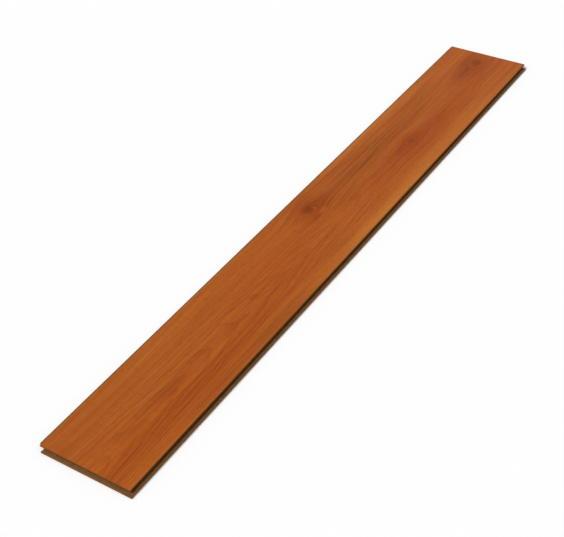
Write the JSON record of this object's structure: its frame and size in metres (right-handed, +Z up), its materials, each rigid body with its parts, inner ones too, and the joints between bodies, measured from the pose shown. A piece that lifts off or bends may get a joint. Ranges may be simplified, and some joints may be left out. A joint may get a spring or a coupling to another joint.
{
  "type": "laminate floor plank",
  "caption": "Long flat laminate floor plank with a wood-look face and click tongue and groove edges that lock to the next plank.",
  "frame": {"origin": "on the underside, below the middle of the laid face", "axes": "+X along the plank towards the tongue end, +Y across it towards the tongue side, +Z up out of the wear face"},
  "size_m": [1.2096, 0.1596, 0.008],
  "materials": {
    "laminate": "satin"
  },
  "bodies": {
    "root": {"plank": "laminate"}
  },
  "joints": []
}
